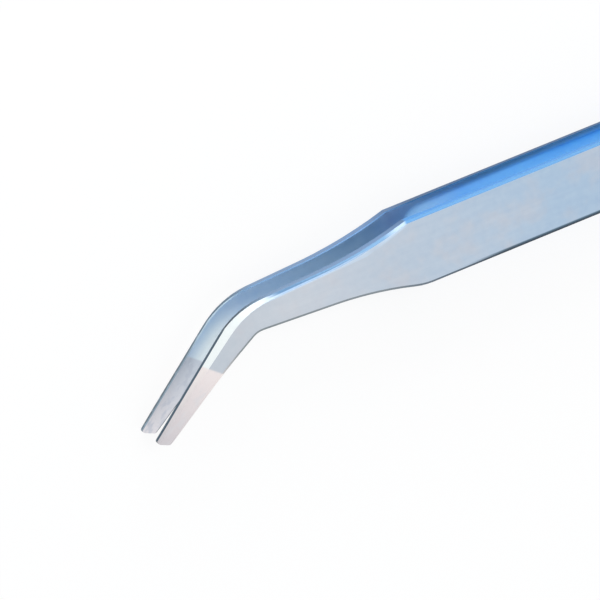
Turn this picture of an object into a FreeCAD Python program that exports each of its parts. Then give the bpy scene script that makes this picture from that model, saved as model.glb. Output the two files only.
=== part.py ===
import FreeCAD, Part
import math
import os

from FreeCAD import Vector

# Bent flat-tip tweezers, lying on the flat outer face of the lower arm.
# +X runs from the heel to the tips, +Y is the side that the tips bend to, +Z is up.
# The origin is on the resting face, near the middle of the body's flat part, on its centre line.

# Plan outline of one arm, the same for both arms
heel_to_shoulder = 76.5
rest_to_shoulder = 22.0
body_width = 9.9
heel_width = 8.2
heel_taper_length = 34.0
heel_corner_radius = 3.2
heel_taper_radius = 90.0
shoulder_flare_length = 7.1
neck_width = 5.9
shoulder_round_radius = 10.0
shoulder_to_elbow = 25.95
elbow_neck_width = 4.1
elbow_outer_radius = 13.5
elbow_inner_radius = 3.0
bend_angle = 35.5
bent_length = 21.5
bent_root_width = 4.55
bent_waist_from_elbow = 7.3
bent_waist_half_width = 1.55
bent_waist_radius = 90.0
tip_width = 2.0
tip_end_angle = 30.0
tip_corner_radius = 0.5

# Side profile of one arm, heights measured from the plane between the arms
outer_half_height = 5.0
body_thickness = 1.4
relief_thickness = 1.15
neck_thickness = 1.9
tip_thickness = 1.05
weld_length = 12.0
spring_rise_length = 21.0
spring_bend_radius = 45.0
thickening_start = 10.0
thickening_length = 14.0
thickening_radius = 40.0
converge_after_shoulder = 8.0
converge_angle = 1.2
converge_radius = 120.0
neck_taper_after_shoulder = 13.0

# Relief ground into the inner face, with full round ends
relief_rim = 0.7
relief_front_to_shoulder = 1.0
relief_heel_clearance = 4.0

# Bevel along the convex edge of the neck and tip, widths on the outer face
bevel_at_shoulder = 0.45
bevel_at_flare = 0.45
bevel_before_elbow = 0.6
bevel_past_elbow = 1.25
bevel_at_tip = 0.4
bevel_slope = 33.0

# Edges and weld marks
edge_break_outer = 0.38
edge_break_inner = 0.14
weld_mark_diameter = 2.4
weld_mark_depth = 0.12
weld_mark_spacing = 5.0

# Allowances of the blanks and cutters
past_end = 6.0
tip_trim_margin = 1.0
bevel_cutter_rise = 1.0
bevel_cutter_drop = 2.0

# Places worked out from the sizes above
shoulder_x = rest_to_shoulder
heel_x = shoulder_x - heel_to_shoulder
elbow_x = shoulder_x + shoulder_to_elbow
weld_end_x = heel_x + weld_length
flat_start_x = weld_end_x + spring_rise_length
flat_end_x = shoulder_x + converge_after_shoulder
bend = math.radians(bend_angle)
along_tip = Vector(math.cos(bend), math.sin(bend), 0)
across_tip = Vector(-math.sin(bend), math.cos(bend), 0)
elbow_point = Vector(elbow_x, 0, 0)
tip_point = elbow_point + along_tip * bent_length
tall = 4 * outer_half_height


def bent_point(distance, side):
    """Point on the bent axis frame: distance past the elbow, side positive on the concave edge."""
    return elbow_point + along_tip * distance + across_tip * side


def line_crossing(a, b, c, d):
    """Where the line through a and b meets the line through c and d, in the plan."""
    r = b - a
    s = d - c
    share = ((c.x - a.x) * s.y - (c.y - a.y) * s.x) / (r.x * s.y - r.y * s.x)
    return a + r * share


def corner_reach(before, corner, after):
    """Length that an arc of radius 1 takes up on each side of a corner."""
    half = (before - corner).getAngle(after - corner) / 2
    return 1 / math.tan(half)


def rounded_face(corners):
    """Flat face from (point, radius) corners, each corner with a radius made a tangent arc."""
    starts = []
    ends = []
    middles = []
    count = len(corners)
    for i in range(count):
        point, radius = corners[i]
        back = (corners[i - 1][0] - point).normalize()
        ahead = (corners[(i + 1) % count][0] - point).normalize()
        if radius <= 0:
            starts.append(point)
            ends.append(point)
            middles.append(None)
            continue
        half = back.getAngle(ahead) / 2
        reach = radius / math.tan(half)
        toward = (back + ahead).normalize()
        starts.append(point + back * reach)
        ends.append(point + ahead * reach)
        middles.append(point + toward * (radius / math.sin(half) - radius))
    edges = []
    for i in range(count):
        if middles[i] is not None:
            edges.append(Part.Arc(starts[i], middles[i], ends[i]).toShape())
        following = starts[(i + 1) % count]
        if (following - ends[i]).Length > 1e-6:
            edges.append(Part.LineSegment(ends[i], following).toShape())
    return Part.Face(Part.Wire(edges))


def convex_elbow_point():
    """Where the convex sides of the neck and the bent part meet before they are rounded."""
    return line_crossing(
        Vector(shoulder_x + shoulder_flare_length, -neck_width / 2, 0),
        Vector(elbow_x, -elbow_neck_width / 2, 0),
        bent_point(0, -bent_root_width / 2), bent_point(bent_length, -tip_width / 2))


def convex_flare_radius():
    """Radius of the arc that takes up the whole side of the flare, from the sharp shoulder on."""
    sharp_shoulder = Vector(shoulder_x, -body_width / 2, 0)
    flare = Vector(shoulder_x + shoulder_flare_length, -neck_width / 2, 0)
    side_length = (flare - sharp_shoulder).Length
    return side_length / corner_reach(sharp_shoulder, flare, convex_elbow_point())


def plan_corners():
    """Corners of the arm's outline, with the bent part running past its end."""
    half = body_width / 2
    taper_x = heel_x + heel_taper_length
    flare_x = shoulder_x + shoulder_flare_length
    concave_elbow = line_crossing(
        Vector(flare_x, neck_width / 2, 0), Vector(elbow_x, elbow_neck_width / 2, 0),
        bent_point(0, bent_root_width / 2),
        bent_point(bent_waist_from_elbow, bent_waist_half_width))
    convex_end = line_crossing(
        bent_point(0, -bent_root_width / 2), bent_point(bent_length, -tip_width / 2),
        bent_point(bent_length + past_end, 0), bent_point(bent_length + past_end, -1))
    concave_end = line_crossing(
        bent_point(bent_waist_from_elbow, bent_waist_half_width),
        bent_point(bent_length, tip_width / 2),
        bent_point(bent_length + past_end, 0), bent_point(bent_length + past_end, 1))
    sharp_shoulder = Vector(shoulder_x, -half, 0)
    round_shoulder = Vector(shoulder_x, half, 0)
    convex_flare = Vector(flare_x, -neck_width / 2, 0)
    concave_flare = Vector(flare_x, neck_width / 2, 0)
    side_length = (concave_flare - round_shoulder).Length
    taken = shoulder_round_radius * corner_reach(Vector(taper_x, half, 0), round_shoulder, concave_flare)
    concave_radius = (side_length - taken) / corner_reach(round_shoulder, concave_flare, concave_elbow)
    return [
        (Vector(heel_x, -heel_width / 2, 0), heel_corner_radius),
        (Vector(taper_x, -half, 0), heel_taper_radius),
        (sharp_shoulder, 0),
        (convex_flare, convex_flare_radius()),
        (convex_elbow_point(), elbow_outer_radius),
        (convex_end, 0),
        (concave_end, 0),
        (bent_point(bent_waist_from_elbow, bent_waist_half_width), bent_waist_radius),
        (concave_elbow, elbow_inner_radius),
        (concave_flare, concave_radius),
        (round_shoulder, shoulder_round_radius),
        (Vector(taper_x, half, 0), heel_taper_radius),
        (Vector(heel_x, heel_width / 2, 0), heel_corner_radius),
    ]


def tip_trim():
    """Prism that holds the whole arm up to its rounded tip."""
    wide = bent_root_width / 2 + tip_trim_margin
    beyond = heel_to_shoulder + shoulder_to_elbow + body_width
    nose = tip_width / 2
    set_back = tip_width * math.tan(math.radians(tip_end_angle))
    corners = [
        (bent_point(-beyond, -beyond), 0),
        (bent_point(0, -beyond), 0),
        (bent_point(0, -wide), 0),
        (bent_point(bent_length, -nose), tip_corner_radius),
        (bent_point(bent_length - set_back, nose), tip_corner_radius),
        (bent_point(0, wide), 0),
        (bent_point(0, beyond), 0),
        (bent_point(-beyond, beyond), 0),
    ]
    prism = rounded_face(corners).extrude(Vector(0, 0, 2 * tall))
    prism.translate(Vector(0, 0, -tall))
    return prism


def profile_height(x):
    """Height of the outer face over the mid plane, past the point where the arms converge."""
    return outer_half_height - (x - flat_end_x) * math.tan(math.radians(converge_angle))


def spring_corners(depth):
    """The two corners of the spring's rise, on the curve that lies this deep under the outer face."""
    rise_angle = math.atan2(outer_half_height - body_thickness, spring_rise_length)
    shift = depth * math.tan(rise_angle / 2)
    return (
        (Vector(weld_end_x + shift, 0, body_thickness - depth), spring_bend_radius + depth),
        (Vector(flat_start_x + shift, 0, outer_half_height - depth), spring_bend_radius - depth),
    )


def side_profile():
    """Face of the arm seen from the side, in the XZ plane."""
    end_x = tip_point.x + 2 * past_end
    low_bend, high_bend = spring_corners(0)
    inner_low, inner_high = spring_corners(body_thickness)
    taper_x = shoulder_x + neck_taper_after_shoulder
    taper_rate = (neck_thickness - tip_thickness) / (tip_point.x - taper_x)
    end_thickness = neck_thickness - taper_rate * (end_x - taper_x)
    corners = [
        (Vector(heel_x - past_end, 0, 0), 0),
        (Vector(heel_x - past_end, 0, body_thickness), 0),
        low_bend,
        high_bend,
        (Vector(flat_end_x, 0, outer_half_height), converge_radius),
        (Vector(end_x, 0, profile_height(end_x)), 0),
        (Vector(end_x, 0, profile_height(end_x) - end_thickness), 0),
        (Vector(taper_x, 0, profile_height(taper_x) - neck_thickness), converge_radius),
        (Vector(thickening_start + thickening_length, 0, outer_half_height - neck_thickness),
         thickening_radius),
        (Vector(thickening_start, 0, outer_half_height - body_thickness), thickening_radius),
        inner_high,
        inner_low,
    ]
    return rounded_face(corners)


def relief_cutter():
    """What is ground away from the inner face: a slot outline, up to an even remaining wall."""
    half = body_width / 2 - relief_rim
    front_x = shoulder_x - relief_front_to_shoulder - half
    rear_x = weld_end_x + relief_heel_clearance + half
    slot = Part.Face(Part.Wire([
        Part.LineSegment(Vector(rear_x, -half, 0), Vector(front_x, -half, 0)).toShape(),
        Part.Arc(Vector(front_x, -half, 0), Vector(front_x + half, 0, 0),
                 Vector(front_x, half, 0)).toShape(),
        Part.LineSegment(Vector(front_x, half, 0), Vector(rear_x, half, 0)).toShape(),
        Part.Arc(Vector(rear_x, half, 0), Vector(rear_x - half, 0, 0),
                 Vector(rear_x, -half, 0)).toShape(),
    ])).extrude(Vector(0, 0, 2 * tall))
    slot.translate(Vector(0, 0, -tall))
    low_bend, high_bend = spring_corners(relief_thickness)
    under = rounded_face([
        (Vector(heel_x, 0, -tall), 0),
        (Vector(heel_x, 0, body_thickness - relief_thickness), 0),
        low_bend,
        high_bend,
        (Vector(elbow_x, 0, outer_half_height - relief_thickness), 0),
        (Vector(elbow_x, 0, -tall), 0),
    ]).extrude(Vector(0, 2 * body_width, 0))
    under.translate(Vector(0, -body_width, 0))
    return slot.common(under)


def moved_path(points, move):
    """The open path through these points with each straight moved sideways, away from the arm."""
    straights = []
    for start, end in zip(points, points[1:]):
        along = (end - start).normalize()
        shift = Vector(along.y, -along.x, 0) * move
        straights.append((start + shift, end + shift))
    moved = [straights[0][0]]
    for one, two in zip(straights, straights[1:]):
        moved.append(line_crossing(*one, *two))
    moved.append(straights[-1][1])
    return moved


def bevel_section(height):
    """Outline of the bevel's cutter at this height over the outer face."""
    move = -height / math.tan(math.radians(bevel_slope))
    flare_x = shoulder_x + shoulder_flare_length
    at_shoulder = Vector(shoulder_x, bevel_at_shoulder - body_width / 2, 0)
    at_flare = Vector(flare_x, bevel_at_flare - neck_width / 2, 0)
    neck_end = Vector(elbow_x, bevel_before_elbow - elbow_neck_width / 2, 0)
    bent_start = bent_point(0, bevel_past_elbow - bent_root_width / 2)
    bent_end = bent_point(bent_length, bevel_at_tip - tip_width / 2)
    at_elbow = line_crossing(at_flare, neck_end, bent_start, bent_end)
    first = at_shoulder + (at_shoulder - at_flare).normalize() * past_end
    last = bent_end + (bent_end - bent_start).normalize() * past_end
    first, flare, elbow, last = moved_path([first, at_flare, at_elbow, last], move)
    flare_radius = convex_flare_radius() + bevel_at_flare - move
    elbow_radius = elbow_outer_radius - bevel_before_elbow + move
    face = rounded_face([
        (first, 0),
        (flare, flare_radius),
        (elbow, elbow_radius),
        (last, 0),
        (bent_point(bent_length + past_end, -tall), 0),
        (Vector(shoulder_x - past_end, -tall, 0), 0),
    ])
    face.translate(Vector(0, 0, outer_half_height + height))
    return face.OuterWire


def bevel_cutter():
    """What is ground off the convex edge: a flat slope that follows the converging outer face."""
    sections = [bevel_section(bevel_cutter_rise), bevel_section(-bevel_cutter_drop)]
    cutter = Part.makeLoft(sections, True, True)
    cutter.rotate(Vector(flat_end_x, 0, outer_half_height), Vector(0, 1, 0), converge_angle)
    return cutter


def edges_by_wall(solid, wanted):
    """Edges between a side wall and an upper or lower face that the test accepts."""
    found = []
    for edge in solid.Edges:
        faces = solid.ancestorsOfType(edge, Part.Face)
        if len(faces) != 2:
            continue
        middle = edge.valueAt((edge.FirstParameter + edge.LastParameter) / 2)
        normals = []
        for face in faces:
            u, v = face.Surface.parameter(middle)
            normals.append(face.normalAt(u, v))
        normals.sort(key=lambda normal: abs(normal.z))
        wall, flat = normals
        if abs(wall.z) < 0.01 and abs(flat.z) > 0.7 and wanted(wall, flat):
            found.append(edge)
    return found


def on_outer_edge(wall, flat):
    """All edges of the outer face, without the end that is trimmed off."""
    return flat.z > 0 and abs(wall.dot(along_tip)) < 0.99


def on_inner_edge(wall, flat):
    """All edges of the inner face, without the end that is trimmed off."""
    return flat.z < 0 and abs(wall.dot(along_tip)) < 0.99


def upper_arm():
    """The arm over the mid plane, ground, bevelled and trimmed to its tip."""
    outline = rounded_face(plan_corners()).extrude(Vector(0, 0, tall))
    side = side_profile().extrude(Vector(0, 4 * tall, 0))
    side.translate(Vector(0, -2 * tall, 0))
    arm = outline.common(side)
    arm = arm.Solids[0]
    arm = arm.makeChamfer(edge_break_outer, edges_by_wall(arm, on_outer_edge))
    arm = arm.makeChamfer(edge_break_inner, edges_by_wall(arm, on_inner_edge))
    arm = arm.cut(bevel_cutter())
    arm = arm.cut(relief_cutter())
    arm = arm.common(tip_trim())
    for step in (-0.5, 0.5):
        x = heel_x + weld_length / 2 + step * weld_mark_spacing
        mark = Part.makeCylinder(
            weld_mark_diameter / 2, tall, Vector(x, 0, body_thickness - weld_mark_depth))
        arm = arm.cut(mark)
    return arm.Solids[0]


def write_parts():
    """Both arms, the lower one mirrored, lifted so that the lower outer face is at zero."""
    os.makedirs("parts", exist_ok=True)
    above = upper_arm()
    below = above.mirror(Vector(0, 0, 0), Vector(0, 0, 1))
    for name, arm in (("upper_arm", above), ("lower_arm", below)):
        placed = arm.copy()
        placed.translate(Vector(0, 0, outer_half_height))
        placed.exportStep("parts/" + name + ".step")


write_parts()
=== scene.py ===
import math
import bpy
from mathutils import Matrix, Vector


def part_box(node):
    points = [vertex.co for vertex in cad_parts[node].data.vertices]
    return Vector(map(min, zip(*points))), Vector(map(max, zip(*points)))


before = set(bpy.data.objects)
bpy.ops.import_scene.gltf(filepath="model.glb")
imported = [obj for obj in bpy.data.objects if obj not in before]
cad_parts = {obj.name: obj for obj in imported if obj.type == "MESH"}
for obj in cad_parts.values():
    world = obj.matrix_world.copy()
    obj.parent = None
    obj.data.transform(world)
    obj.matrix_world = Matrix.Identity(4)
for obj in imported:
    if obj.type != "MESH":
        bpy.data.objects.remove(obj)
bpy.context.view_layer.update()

from types import SimpleNamespace

import bpy
from mathutils import Matrix, Vector

# Heights, from the frame, in metres
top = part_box("upper_arm")[1].z
mid_height = 0.5 * (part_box("lower_arm")[0].z + top)
half_height = top - mid_height

# Places on the arms, in metres, as in the part's own frame
shoulder_x = 0.022
elbow_x = shoulder_x + 0.02595
bend = math.radians(35.5)
ground_from_elbow = 0.0084
relief_half = 0.00425
relief_end_x = shoulder_x - 0.001 - relief_half
fall_start_x = 0.030
fall_slope = 0.021

# Straight borders, as the slope and offset of a line: the bevel's inner side, and the leg's convex edge
bevel_in_flare = (0.29, -0.01087)
bevel_in_neck = (0.0557, -0.00412)
convex_edge_of_leg = (0.0593, -0.002275)


class Wiring:
    """Adds nodes to one tree and links them. A value is a socket, a number or a colour."""

    def __init__(self, holder):
        holder.use_nodes = True
        self.tree = holder.node_tree
        self.tree.nodes.clear()

    def node(self, kind, **settings):
        """One new node with its settings."""
        made = self.tree.nodes.new(kind)
        for name, value in settings.items():
            setattr(made, name, value)
        return made

    def feed(self, value, target):
        """Links a socket to the target, or sets a number or a colour on it."""
        if isinstance(value, bpy.types.NodeSocket):
            self.tree.links.new(value, target)
        elif target.type == "RGBA":
            target.default_value = (*value, 1)
        else:
            target.default_value = value

    def calculate(self, operation, *values):
        """The result of a Math node."""
        made = self.node("ShaderNodeMath", operation=operation)
        for value, target in zip(values, made.inputs):
            self.feed(value, target)
        return made.outputs[0]

    def times(self, first, second):
        """A product, which for two masks is where both are on."""
        return self.calculate("MULTIPLY", first, second)

    def on_line(self, value, slope, offset):
        """The value times a slope, plus an offset."""
        return self.calculate("MULTIPLY_ADD", value, slope, offset)

    def without(self, mask):
        """The mask turned round: on where it was off."""
        return self.calculate("SUBTRACT", 1.0, mask)

    def step(self, value, low, high):
        """0 below low and 1 above high, with a soft step between them."""
        made = self.node("ShaderNodeMapRange", interpolation_type="SMOOTHSTEP")
        self.feed(value, made.inputs["Value"])
        self.feed(low, made.inputs["From Min"])
        self.feed(high, made.inputs["From Max"])
        return made.outputs[0]

    def band(self, value, rise, fall):
        """A mask that comes on over the first two places and goes off over the last two."""
        return self.times(self.step(value, *rise), self.without(self.step(value, *fall)))

    def blend(self, share, first, second):
        """One number that passes from first to second."""
        made = self.node("ShaderNodeMix", data_type="FLOAT")
        for value, slot in ((share, 0), (first, 2), (second, 3)):
            self.feed(value, made.inputs[slot])
        return made.outputs[0]

    def coat(self, share, first, second, kind="MIX"):
        """The second colour laid over the first, as thick as share."""
        made = self.node("ShaderNodeMix", data_type="RGBA", blend_type=kind)
        for value, slot in ((share, 0), (first, 6), (second, 7)):
            self.feed(value, made.inputs[slot])
        return made.outputs[2]

    def colour_along(self, run, stops):
        """A colour that changes along the arm, from stops of place and colour."""
        first, last = stops[0][0], stops[-1][0]
        share = self.node("ShaderNodeMapRange")
        self.feed(run, share.inputs["Value"])
        self.feed(first, share.inputs["From Min"])
        self.feed(last, share.inputs["From Max"])
        made = self.node("ShaderNodeValToRGB")
        ramp = made.color_ramp
        ramp.elements[0].color = (*stops[0][1], 1)
        ramp.elements[1].color = (*stops[-1][1], 1)
        for place, colour in stops[1:-1]:
            ramp.elements.new((place - first) / (last - first)).color = (*colour, 1)
        self.feed(share.outputs[0], made.inputs[0])
        return made.outputs[0]

    def noise(self, vector, scale, detail):
        """Soft random marks, scale of them to the metre."""
        made = self.node("ShaderNodeTexNoise")
        self.feed(vector, made.inputs["Vector"])
        self.feed(scale, made.inputs["Scale"])
        self.feed(detail, made.inputs["Detail"])
        return made.outputs[0]

    def mapped(self, vector, socket, setting):
        """The vector, turned or scaled by a Mapping node."""
        made = self.node("ShaderNodeMapping")
        self.feed(vector, made.inputs[0])
        self.feed(setting, made.inputs[socket])
        return made.outputs[0]

    def split(self, vector):
        """The vector's three numbers."""
        made = self.node("ShaderNodeSeparateXYZ")
        self.feed(vector, made.inputs[0])
        return made.outputs


def paint(red, green, blue):
    """A linear colour from its screen values, 0 to 255."""
    def linear(part):
        part /= 255
        return part / 12.92 if part <= 0.04045 else ((part + 0.055) / 1.055) ** 2.4
    return (linear(red), linear(green), linear(blue))


def places_on_arm(wiring):
    """Where a point lies: along the arm and across it, in the body and in the bent leg."""
    at = SimpleNamespace()
    at.place = wiring.node("ShaderNodeTexCoord").outputs["Object"]
    at.x, at.y, at.z = wiring.split(at.place)
    at.leg_place = wiring.mapped(at.place, "Rotation", (0, 0, -bend))
    leg_x, leg_y = wiring.split(at.leg_place)[:2]
    at.past_elbow = wiring.calculate("SUBTRACT", leg_x, elbow_x * math.cos(bend))
    at.leg_side = wiring.calculate("ADD", leg_y, elbow_x * math.sin(bend))
    at.in_leg = wiring.step(at.past_elbow, -0.001, 0.001)
    at.run = wiring.blend(at.in_leg, at.x, wiring.calculate("ADD", at.past_elbow, elbow_x))
    at.in_body = wiring.without(wiring.step(at.x, shoulder_x - 0.0004, shoulder_x + 0.0002))
    at.above = wiring.calculate("SUBTRACT", at.z, mid_height)
    at.upper_arm = wiring.calculate("GREATER_THAN", at.above, 0.0)
    return at


def faces_of_arm(wiring, at):
    """Masks of the arm's faces, told apart by which way they face."""
    # Soft steps on the part of the normal that points outward: 1 is a flat face, 0 is a wall
    flat, slope, bevel_slope = (0.93, 0.985), (0.35, 0.55), (0.74, 0.80)
    inner_flat, inner_slope = (0.85, 0.95), (0.4, 0.6)
    times, without = wiring.times, wiring.without
    on = SimpleNamespace()
    face_x, face_y, face_z = wiring.split(wiring.node("ShaderNodeNewGeometry").outputs["Normal"])
    leg_facing = wiring.on_line(face_y, math.cos(bend), times(face_x, -math.sin(bend)))
    on.concave = wiring.step(wiring.blend(at.in_leg, face_y, leg_facing), -0.05, 0.05)
    outward = times(wiring.calculate("SIGN", at.above), face_z)
    on.outer_face = wiring.step(outward, *flat)
    on.sloped = times(wiring.step(outward, *slope), without(on.outer_face))
    on.bevel = times(wiring.step(outward, *bevel_slope), times(on.sloped, without(on.concave)))
    on.outer_edge = times(on.sloped, without(on.bevel))
    inward = times(outward, -1.0)
    on.inner_face = wiring.step(inward, *inner_flat)
    on.inner_edge = times(wiring.step(inward, *inner_slope), without(on.inner_face))
    on.relief = times(on.inner_face, in_relief(wiring, at))
    on.bare_tip = past_grinding_line(wiring, at)
    return on


def in_relief(wiring, at):
    """The relief's outline: straight sides, a little wider toward the heel, and a round end."""
    heel_widening, soft_inside, soft_outside = 0.0003, 0.0007, 0.0003
    past_end = wiring.calculate("MAXIMUM", wiring.calculate("SUBTRACT", at.x, relief_end_x), 0.0)
    reach = wiring.calculate("ADD", wiring.times(past_end, past_end), wiring.times(at.y, at.y))
    widening = wiring.times(wiring.without(wiring.step(at.x, -0.012, 0.012)), heel_widening)
    reach = wiring.calculate("SUBTRACT", wiring.calculate("SQRT", reach), widening)
    return wiring.without(wiring.step(reach, relief_half - soft_inside, relief_half + soft_outside))


def past_grinding_line(wiring, at):
    """The bare ground tip, whose border crosses the leg at a slant."""
    slant, softness = 0.25, 0.0002
    slanted = wiring.on_line(at.leg_side, slant, at.past_elbow)
    return wiring.step(slanted, ground_from_elbow - softness, ground_from_elbow + softness)


def grain(wiring, at, scale_along, scale_across, detail):
    """Noise drawn out along the arm, which turns with the bend."""
    scale = (scale_along, scale_across, scale_across)
    noises = [wiring.noise(wiring.mapped(place, "Scale", scale), 1.0, detail)
              for place in (at.place, at.leg_place)]
    return wiring.blend(at.in_leg, *noises)


def outer_face_colour(wiring, at):
    """Satin grey, bluer toward the heel, with faint warm patches."""
    colour = wiring.colour_along(at.run, [
        (0.0, paint(177, 198, 219)), (0.041, paint(200, 206, 214)), (0.053, paint(193, 200, 208))])
    patches_per_metre, strength = 260.0, 0.4
    patches = wiring.noise(at.place, patches_per_metre, 3.0)
    warm_patches = wiring.times(wiring.step(patches, 0.42, 0.72), strength)
    return wiring.coat(warm_patches, colour, paint(206, 203, 207))


def inner_face_colour(wiring, at):
    """Slate blue in the body, lighter along the neck, palest beside the bare tip: painted shade and
    light between the arms.
    """
    # Lighter from the body toward the tip: painted shade and light between the arms
    colour = wiring.colour_along(at.run, [
        (0.006, paint(117, 153, 172)), (0.016, paint(140, 166, 186)), (0.022, paint(168, 182, 203)),
        (0.024, paint(178, 206, 227)), (0.054, paint(198, 218, 240))])
    # Painted light: a pale strip on the leg's concave side near the tip
    toward_tip = wiring.step(at.run, 0.046, 0.053)
    toward_concave_side = wiring.step(at.leg_side, -0.0022, 0.0003)
    pale = wiring.times(toward_tip, toward_concave_side)
    return wiring.coat(pale, colour, paint(226, 237, 242))


def relief_colour(wiring, at):
    """Bright blue, with painted shade darkening it along the rim toward the heel."""
    colour = wiring.colour_along(at.run, [
        (0.0, paint(139, 208, 255)), (0.010, paint(131, 198, 255)), (0.016, paint(173, 220, 255))])
    # Painted shade along the relief's rim toward the heel
    along_rim = wiring.step(wiring.calculate("ABSOLUTE", at.y), 0.0022, 0.0043)
    toward_heel = wiring.without(wiring.step(at.run, -0.0105, 0.009))
    return wiring.coat(wiring.times(along_rim, toward_heel), colour, paint(88, 178, 248))


def wall_colour(wiring, at, concave):
    """The arm's thickness: blue in the neck, with painted shade darkening it at the tips and small
    painted glints there.
    """
    # Darker toward the tips: painted shade
    colour = wiring.colour_along(at.run, [
        (0.018, paint(52, 98, 146)), (0.026, paint(118, 156, 202)), (0.044, paint(124, 158, 195)),
        (0.048, paint(92, 116, 136)), (0.062, paint(82, 101, 114))])
    # Painted shade: the upper arm's tip wall darker still
    upper_tip = wiring.times(at.upper_arm, wiring.step(at.run, 0.046, 0.051))
    colour = wiring.coat(upper_tip, colour, paint(38, 56, 72))
    # Painted glints: small light marks on the walls near the tips, fainter on the concave side
    strength, loss_on_concave_side = 0.5, 0.75
    glints = wiring.step(grain(wiring, at, 700.0, 1400.0, 1.0), 0.58, 0.64)
    glints = wiring.times(glints, wiring.times(wiring.step(at.run, 0.045, 0.052), strength))
    glints = wiring.times(glints, wiring.on_line(concave, -loss_on_concave_side, 1.0))
    return wiring.coat(glints, colour, paint(176, 200, 220))


def outer_edge_colour(wiring, at, concave):
    """The broken outer edges, which show differently on the two sides: painted shade darkens the concave
    side in the body, and a painted highlight lightens the convex side at the flare.
    """
    # Painted shade: the concave side's edge dark in the body
    concave_side = wiring.colour_along(at.run, [
        (0.009, paint(40, 62, 79)), (0.019, paint(92, 108, 124)), (0.028, paint(138, 148, 156)),
        (0.052, paint(136, 146, 150)), (0.056, paint(205, 204, 205))])
    # Painted highlight: the convex side's edge light at the flare
    convex_side = wiring.colour_along(at.run, [
        (0.0218, paint(88, 131, 172)), (0.0222, paint(150, 170, 190)), (0.0236, paint(150, 170, 190)),
        (0.0256, paint(102, 134, 164)), (0.044, paint(93, 125, 156))])
    return wiring.coat(concave, convex_side, concave_side)


def inner_edge_colour(wiring, at, concave, wall):
    """The broken inner edges: painted shade makes them darker than the wall, with a painted highlight
    line on the convex side of the leg.
    """
    shade, loss_at_tip = 0.45, 0.45
    # Painted shade on the inner edges
    colour = wiring.coat(shade, wall, paint(20, 40, 60))
    # Painted highlight along the convex side of the leg, fading at the tip
    edge_highlight = wiring.times(wiring.step(at.run, 0.0450, 0.0515), wiring.without(concave))
    fading = wiring.times(wiring.step(at.run, 0.053, 0.058), loss_at_tip)
    edge_highlight = wiring.times(edge_highlight, wiring.without(fading))
    return wiring.coat(edge_highlight, colour, paint(188, 209, 224))


def bevel_colour(wiring, at):
    """The bevel with a painted highlight: light at the flare, blue along the neck, nearly white round
    the elbow.
    """
    return wiring.colour_along(at.run, [
        (0.0222, paint(204, 220, 232)), (0.0240, paint(186, 206, 224)), (0.0262, paint(131, 154, 178)),
        (0.042, paint(142, 164, 189)), (0.046, paint(200, 210, 216)), (0.051, paint(246, 251, 250))])


def bare_tip_colours(wiring, at):
    """Plain ground steel on the outer face, the inner face and the bevel of the tips."""
    outer_strength, inner_strength = 0.3, 0.55
    blotches = wiring.step(grain(wiring, at, 500.0, 1100.0, 3.0), 0.48, 0.62)
    outer = wiring.colour_along(at.run, [(0.056, paint(238, 228, 226)), (0.069, paint(206, 200, 203))])
    outer = wiring.coat(wiring.times(blotches, outer_strength), outer, paint(212, 214, 218))
    inner = wiring.colour_along(at.run, [(0.056, paint(202, 210, 220)), (0.069, paint(226, 222, 225))])
    inner = wiring.coat(wiring.times(blotches, inner_strength), inner, paint(190, 196, 208))
    # The tip's bevel a little lighter than its face: a painted highlight
    bevel = wiring.colour_along(at.run, [(0.056, paint(246, 237, 234)), (0.069, paint(212, 207, 210))])
    return outer, inner, bevel


def light_beside_bevel(wiring, at, outer_face):
    """Painted highlight that spreads from the bevel onto the face, widest at the flare."""
    flare_strength, neck_strength = 0.8, 0.45
    flare_width, neck_width = (0.0, 0.00045), (0.00008, 0.00028)
    border = wiring.calculate(
        "MINIMUM", wiring.on_line(at.x, *bevel_in_flare), wiring.on_line(at.x, *bevel_in_neck))
    past_bevel = wiring.calculate("SUBTRACT", at.y, border)
    flare = wiring.times(wiring.without(wiring.step(past_bevel, *flare_width)),
                         wiring.band(at.x, (0.0215, 0.0228), (0.0250, 0.0285)))
    neck = wiring.times(wiring.without(wiring.step(past_bevel, *neck_width)),
                        wiring.band(at.x, (0.0262, 0.0292), (0.043, 0.046)))
    light = wiring.calculate(
        "MAXIMUM", wiring.times(flare, flare_strength), wiring.times(neck, neck_strength))
    return wiring.times(light, outer_face)


def foot_of_bevel(wiring, at, on_bevel):
    """Painted shade on the lower part of the bevel along the neck, told by its depth under the outer
    face.
    """
    past_start = wiring.calculate("MAXIMUM", wiring.calculate("SUBTRACT", at.x, fall_start_x), 0.0)
    face_height = wiring.calculate("SUBTRACT", half_height, wiring.times(past_start, fall_slope))
    depth = wiring.calculate("SUBTRACT", face_height, wiring.calculate("ABSOLUTE", at.above))
    foot = wiring.times(on_bevel, wiring.step(depth, 0.00012, 0.00019))
    return wiring.times(foot, wiring.band(at.x, (0.0235, 0.026), (0.042, 0.045)))


def upper_tip_edge(wiring, at):
    """A thin line of painted shade along the convex edge of the upper arm's tip."""
    line_width = (0.00005, 0.00013)
    edge = wiring.on_line(at.past_elbow, *convex_edge_of_leg)
    from_edge = wiring.calculate("SUBTRACT", at.leg_side, edge)
    tip = wiring.times(at.upper_arm, wiring.step(at.run, 0.0475, 0.051))
    return wiring.times(tip, wiring.without(wiring.step(from_edge, *line_width)))


def concave_edge_line(wiring, at, outer_face):
    """A thin line of painted shade along the concave edge of the body's outer face."""
    strength = 0.85
    near_edge = wiring.step(at.y, 0.00428, 0.00446)
    line = wiring.times(near_edge, wiring.band(at.x, (-0.020, -0.016), (0.008, 0.017)))
    return wiring.times(wiring.times(line, outer_face), strength)


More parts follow.
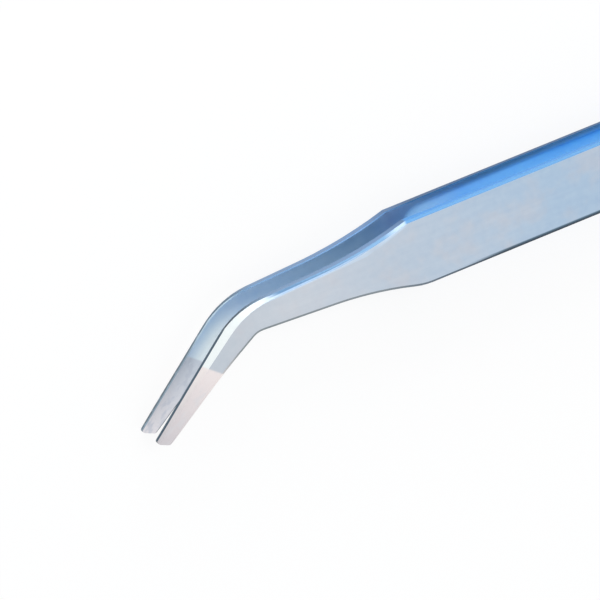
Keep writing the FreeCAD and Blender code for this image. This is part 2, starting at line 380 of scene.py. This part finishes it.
def tint_with_painted_light(wiring, at, on):
    """The tinted faces with their painted light and shade, laid on one after another from the walls
    outward.
    """
    wall = wall_colour(wiring, at, on.concave)
    colour = wiring.coat(on.outer_edge, wall, outer_edge_colour(wiring, at, on.concave))
    colour = wiring.coat(on.inner_edge, colour, inner_edge_colour(wiring, at, on.concave, wall))
    # Painted reflection: the upper arm's convex wall in the body bright blue, which the lower arm's is
    # not
    upper_body = wiring.times(at.upper_arm, at.in_body)
    convex_wall = wiring.times(wiring.without(on.sloped), wiring.without(on.concave))
    colour = wiring.coat(wiring.times(upper_body, convex_wall), colour, paint(66, 163, 240))
    colour = wiring.coat(on.outer_face, colour, outer_face_colour(wiring, at))
    colour = wiring.coat(on.inner_face, colour, inner_face_colour(wiring, at))
    return wiring.coat(on.relief, colour, relief_colour(wiring, at))


def arm_colour(wiring, at, on):
    """All the arm's colours: the tinted faces with their painted light and shade, the bevel with its
    painted highlight and shade, and the bare tips.
    """
    colour = tint_with_painted_light(wiring, at, on)
    # The bevel's colour, with its painted highlight, outside the body
    on_bevel = wiring.times(on.bevel, wiring.without(at.in_body))
    colour = wiring.coat(on_bevel, colour, bevel_colour(wiring, at))
    tip_outer, tip_inner, tip_bevel = bare_tip_colours(wiring, at)
    colour = wiring.coat(wiring.times(on.bare_tip, on.outer_face), colour, tip_outer)
    # Painted highlight beside the bevel
    light = light_beside_bevel(wiring, at, on.outer_face)
    colour = wiring.coat(light, colour, paint(208, 227, 246))
    # Painted shade at the foot of the bevel
    colour = wiring.coat(foot_of_bevel(wiring, at, on_bevel), colour, paint(88, 118, 148))
    # Painted shade along the concave edge
    colour = wiring.coat(concave_edge_line(wiring, at, on.outer_face), colour, paint(58, 84, 102))
    # The tips' bevel and sloped edges, with a painted highlight
    colour = wiring.coat(wiring.times(on.bare_tip, on.sloped), colour, tip_bevel)
    colour = wiring.coat(wiring.times(on.bare_tip, on.inner_face), colour, tip_inner)
    # Painted shade along the upper arm's tip edge
    tip_line = wiring.times(upper_tip_edge(wiring, at), wiring.without(on.inner_face))
    return wiring.coat(tip_line, colour, paint(60, 86, 104))


def arm_steel():
    """Ground spring steel: satin outer faces, blue tinted inner faces and edges, bare ground tips, with
    painted highlights, reflection and shade.
    """
    material = bpy.data.materials.new("ground_spring_steel")
    wiring = Wiring(material)
    at = places_on_arm(wiring)
    on = faces_of_arm(wiring, at)
    fine_grain = grain(wiring, at, 250.0, 9000.0, 2.0)
    broad_grain = grain(wiring, at, 60.0, 900.0, 3.0)
    clouds = wiring.noise(at.place, 900.0, 4.0)

    steel = wiring.node("ShaderNodeBsdfPrincipled")
    colour = wiring.coat(0.10, arm_colour(wiring, at, on), clouds, "OVERLAY")
    wiring.feed(wiring.coat(0.12, colour, broad_grain, "OVERLAY"), steel.inputs["Base Color"])
    wiring.feed(wiring.on_line(on.relief, -0.75, 1.0), steel.inputs["Metallic"])
    rough = wiring.on_line(broad_grain, 0.12, 0.28)
    wiring.feed(wiring.on_line(clouds, 0.08, rough), steel.inputs["Roughness"])
    bump = wiring.node("ShaderNodeBump")
    wiring.feed(0.25, bump.inputs["Strength"])
    wiring.feed(0.00002, bump.inputs["Distance"])
    wiring.feed(fine_grain, bump.inputs["Height"])
    wiring.feed(bump.outputs[0], steel.inputs["Normal"])
    out = wiring.node("ShaderNodeOutputMaterial")
    wiring.feed(steel.outputs[0], out.inputs[0])
    return material


def white_sweep():
    """Floor that shows near white to the camera and in reflections, and keeps part of the shadow."""
    material = bpy.data.materials.new("white_sweep")
    wiring = Wiring(material)
    cloth = wiring.node("ShaderNodeBsdfDiffuse")
    wiring.feed((0.96, 0.96, 0.96), cloth.inputs["Color"])
    glow = wiring.node("ShaderNodeEmission")
    wiring.feed((1, 1, 1), glow.inputs["Color"])
    wiring.feed(1.0, glow.inputs["Strength"])
    ray = wiring.node("ShaderNodeLightPath").outputs
    reflected = wiring.calculate("MAXIMUM", ray["Is Glossy Ray"], ray["Is Transmission Ray"])
    seen = wiring.calculate("MAXIMUM", ray["Is Camera Ray"], reflected)
    out = wiring.node("ShaderNodeOutputMaterial")
    show_by(wiring, wiring.times(seen, 0.85), cloth, glow, out)
    return material


def show_by(wiring, share, first, second, out):
    """Passes from the first shader to the second one, and on to the output."""
    mixed = wiring.node("ShaderNodeMixShader")
    for value, target in zip((share, first.outputs[0], second.outputs[0]), mixed.inputs):
        wiring.feed(value, target)
    wiring.feed(mixed.outputs[0], out.inputs[0])


def lay_floor():
    """A plane just under the lower arm, so that the two faces don't share a height."""
    side, drop = 3.0, 0.00002
    bpy.ops.object.select_all(action="DESELECT")
    bpy.ops.mesh.primitive_plane_add(size=side, location=(0, 0, -drop))
    floor = bpy.context.object
    floor.name = "floor"
    bpy.ops.object.transform_apply(location=True, rotation=True, scale=True)
    floor.data.materials.append(white_sweep())


def set_world():
    """A pale room that lights the arms, and plain white where the camera sees past the floor."""
    world = bpy.data.worlds.new("studio")
    bpy.context.scene.world = world
    wiring = Wiring(world)
    room = wiring.node("ShaderNodeBackground")
    wiring.feed((0.96, 0.98, 1.0), room.inputs["Color"])
    wiring.feed(0.83, room.inputs["Strength"])
    white = wiring.node("ShaderNodeBackground")
    wiring.feed((1, 1, 1), white.inputs["Color"])
    wiring.feed(1.0, white.inputs["Strength"])
    seen = wiring.node("ShaderNodeLightPath").outputs["Is Camera Ray"]
    show_by(wiring, seen, room, white, wiring.node("ShaderNodeOutputWorld"))


def soft_box(name, place, aim, size, power):
    """A rectangular lamp that shines from its place toward its aim."""
    lamp = bpy.data.lights.new(name, "AREA")
    lamp.shape = "RECTANGLE"
    lamp.size, lamp.size_y = size
    lamp.energy = power
    made = bpy.data.objects.new(name, lamp)
    bpy.context.scene.collection.objects.link(made)
    made.location = place
    made.rotation_euler = (Vector(aim) - Vector(place)).to_track_quat("-Z", "Y").to_euler()


def set_camera():
    """Camera from the fit of the measured outline: where it stands, what it looks at, what is up."""
    stand = Vector((0.1809493, -0.1731863, 0.562312))
    aim = Vector((0.0390205, 0.0010981, 0.0060017))
    up = Vector((-0.367989, -0.909961, -0.191195))
    back = (stand - aim).normalized()
    right = up.cross(back).normalized()
    up = back.cross(right)
    camera = bpy.data.cameras.new("camera")
    camera.sensor_width = 36.0
    camera.lens = 255.6
    camera.clip_start = 0.01
    made = bpy.data.objects.new("camera", camera)
    bpy.context.scene.collection.objects.link(made)
    turn = Matrix((right, up, back)).transposed().to_4x4()
    made.matrix_world = Matrix.Translation(stand) @ turn
    bpy.context.scene.camera = made


ground_spring_steel = arm_steel()
for arm in ("upper_arm", "lower_arm"):
    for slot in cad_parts[arm].material_slots:
        slot.material = ground_spring_steel

lay_floor()
set_world()
soft_box("overhead_soft_box", place=(0, 0.05, 0.6), aim=(0.02, 0, 0), size=(0.5, 0.5), power=0.25)
soft_box("side_soft_box", place=(-0.05, -0.6, 0.3), aim=(0.01, 0, 0.005), size=(0.6, 0.3), power=1.56)
soft_box("bevel_soft_box", place=(-0.02, -0.5, 0.45), aim=(0.03, 0, 0), size=(0.5, 0.35), power=0.35)
set_camera()
bpy.context.scene.view_settings.view_transform = "Standard"
